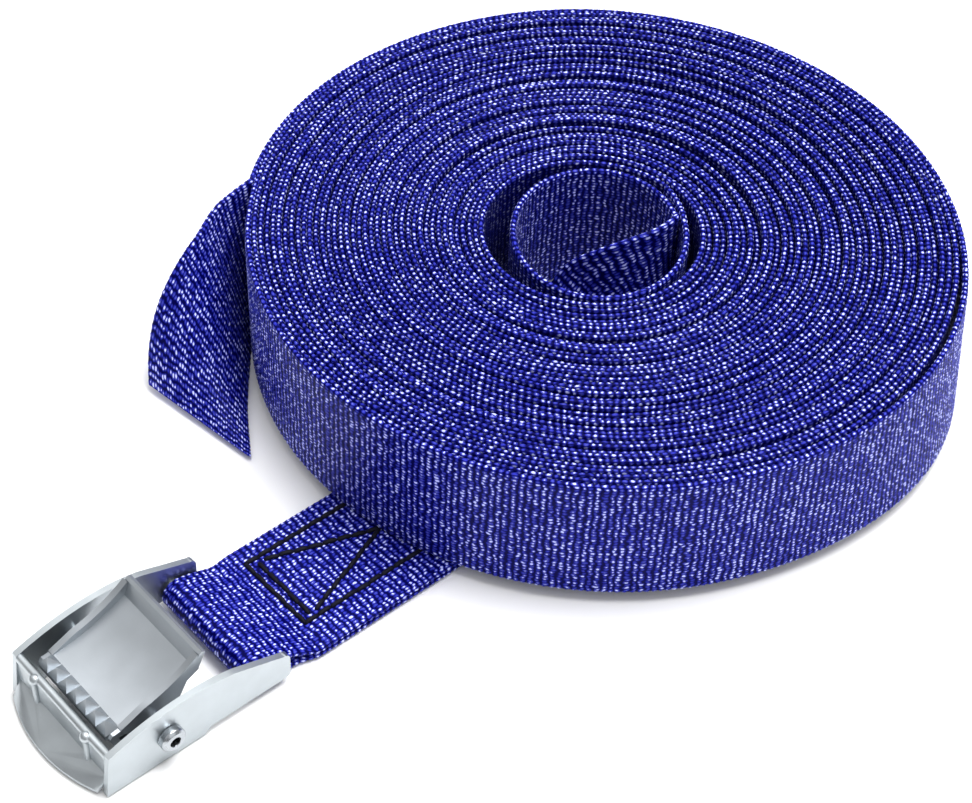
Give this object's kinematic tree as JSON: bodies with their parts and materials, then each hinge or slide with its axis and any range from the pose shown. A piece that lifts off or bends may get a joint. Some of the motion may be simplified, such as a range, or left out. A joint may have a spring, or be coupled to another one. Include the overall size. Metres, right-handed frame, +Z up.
{
  "type": "cam buckle lashing strap",
  "caption": "Coil of woven webbing lashing strap with a pressed-steel cam buckle, its toothed sprung lever, and a box-stitched end loop.",
  "frame": {"origin": "on the ground under the centre of the wound coil", "axes": "+Z up, the coil's axis; -X towards the buckle, along the straight run of webbing; Y across the webbing"},
  "size_m": [0.1852, 0.121, 0.0268],
  "materials": {
    "webbing": "woven polyester webbing, cross-ribbed, with a slight sheen",
    "thread": "black polyester sewing thread",
    "zinc_steel": "bright bluish zinc plating on pressed sheet steel",
    "rivet_steel": "zinc-plated hollow rivet",
    "spring_steel": "drawn spring wire"
  },
  "bodies": {
    "strap": {"webbing_coil": "webbing", "webbing_core": "webbing", "webbing_run": "webbing", "webbing_flap": "webbing", "webbing_loop": "webbing", "webbing_tail": "webbing", "stitch_box": "thread", "stitch_cross": "thread", "stitch_end_row": "thread"},
    "buckle": {"buckle_frame": "zinc_steel", "rivet_pin": "rivet_steel", "lever_spring": "spring_steel"},
    "lever": {"cam_lever": "zinc_steel"}
  },
  "joints": [
    {"name": "buckle_swing", "type": "hinge", "parent": "strap", "child": "buckle", "pos_m": [-0.092, -0.0135, 0.0027], "axis": [0, 1, 0], "range_deg": [0, 90]},
    {"name": "lever_press", "type": "hinge", "parent": "buckle", "child": "lever", "pos_m": [-0.1097, -0.0135, 0.0052], "axis": [0, 1, 0], "range_deg": [0, 35], "deforming": ["lever_spring"]}
  ]
}
